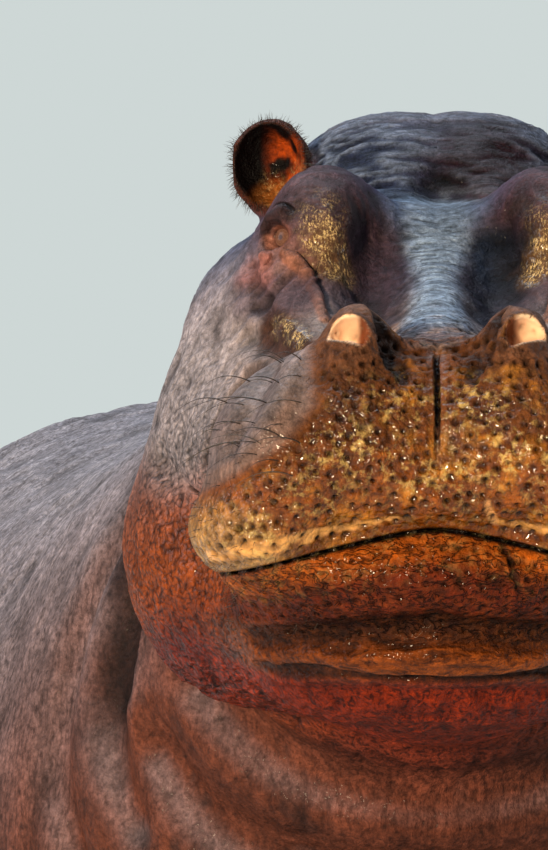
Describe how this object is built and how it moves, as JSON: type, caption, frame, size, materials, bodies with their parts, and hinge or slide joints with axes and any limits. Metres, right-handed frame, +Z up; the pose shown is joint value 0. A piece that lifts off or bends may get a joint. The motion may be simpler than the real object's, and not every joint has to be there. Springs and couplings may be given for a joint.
{
  "type": "hippopotamus",
  "caption": "Adult hippopotamus standing still, head raised and facing forward, body curving gently to its right; a rigid life-size figure.",
  "frame": {"origin": "on the floor, under the middle of the animal's overall box", "axes": "+Z up, nose toward -Y, the animal's left toward +X"},
  "size_m": [1.4464, 3.3998, 1.7497],
  "materials": {
    "skin": "thick bare hide, grey-mauve above and red-brown below, wet ochre muzzle, semi-gloss",
    "eye": "wet, glossy, red-brown with a dark pupil",
    "nail": "worn horn, dull dark grey-brown",
    "bristle": "stiff dark hair, slightly glossy"
  },
  "bodies": {
    "root": {"head": "skin", "lower_jaw": "skin", "neck": "skin", "trunk": "skin", "tail": "skin", "eye_left": "eye", "ear_left": "skin", "foreleg_left": "skin", "forefoot_left": "skin", "forenail_left_1": "nail", "forenail_left_2": "nail", "forenail_left_3": "nail", "forenail_left_4": "nail", "hindleg_left": "skin", "hindfoot_left": "skin", "hindnail_left_1": "nail", "hindnail_left_2": "nail", "hindnail_left_3": "nail", "hindnail_left_4": "nail", "eye_right": "eye", "ear_right": "skin", "foreleg_right": "skin", "forefoot_right": "skin", "forenail_right_1": "nail", "forenail_right_2": "nail", "forenail_right_3": "nail", "forenail_right_4": "nail", "hindleg_right": "skin", "hindfoot_right": "skin", "hindnail_right_1": "nail", "hindnail_right_2": "nail", "hindnail_right_3": "nail", "hindnail_right_4": "nail"}
  },
  "joints": []
}
